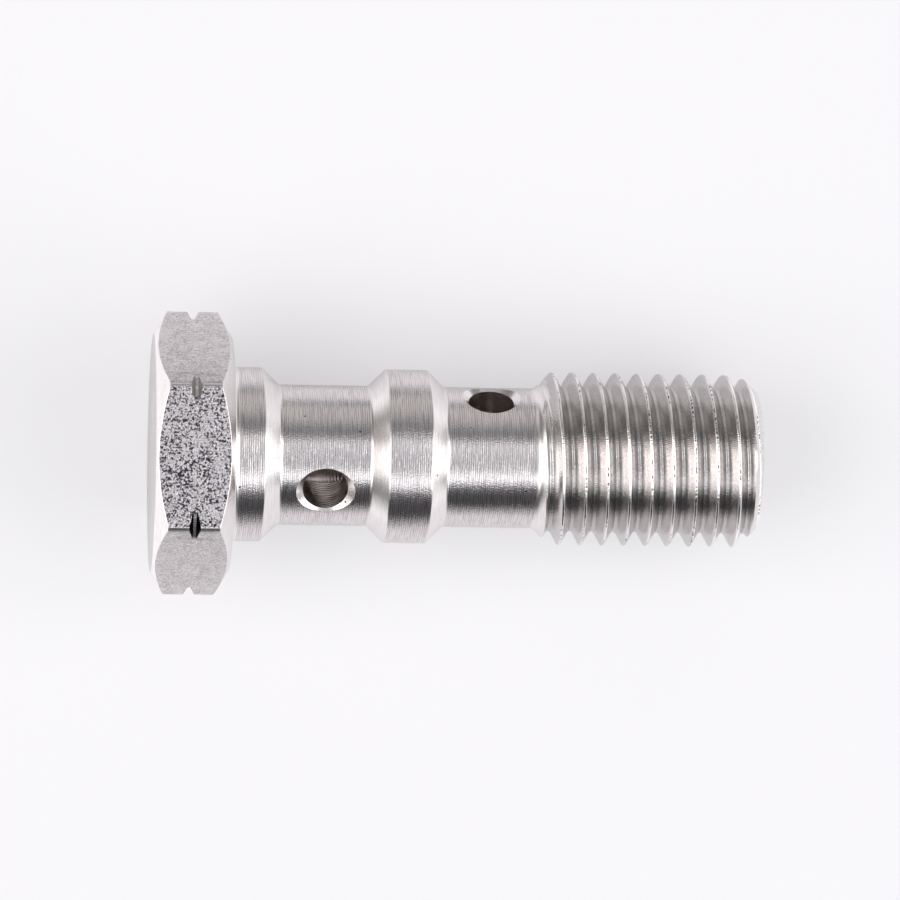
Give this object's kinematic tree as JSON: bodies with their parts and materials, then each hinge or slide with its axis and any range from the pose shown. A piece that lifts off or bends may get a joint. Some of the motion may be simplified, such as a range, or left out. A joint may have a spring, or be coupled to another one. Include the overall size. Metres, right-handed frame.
{
  "type": "double banjo bolt",
  "caption": "Stainless hex-head bolt with two grooved necks, cross holes and a drilled threaded shank, for joining two hose fittings to one hydraulic port.",
  "frame": {"origin": "on the bolt's axis, in the seat plane under the head", "axes": "+X along the axis from the head to the threaded tip, +Z square to one flat of the head, +Y across two of its corners"},
  "size_m": [0.0344, 0.016, 0.014],
  "materials": {
    "stainless_steel": "bare turned, milled and threaded stainless steel"
  },
  "bodies": {
    "root": {"banjo_bolt": "stainless_steel"}
  },
  "joints": []
}
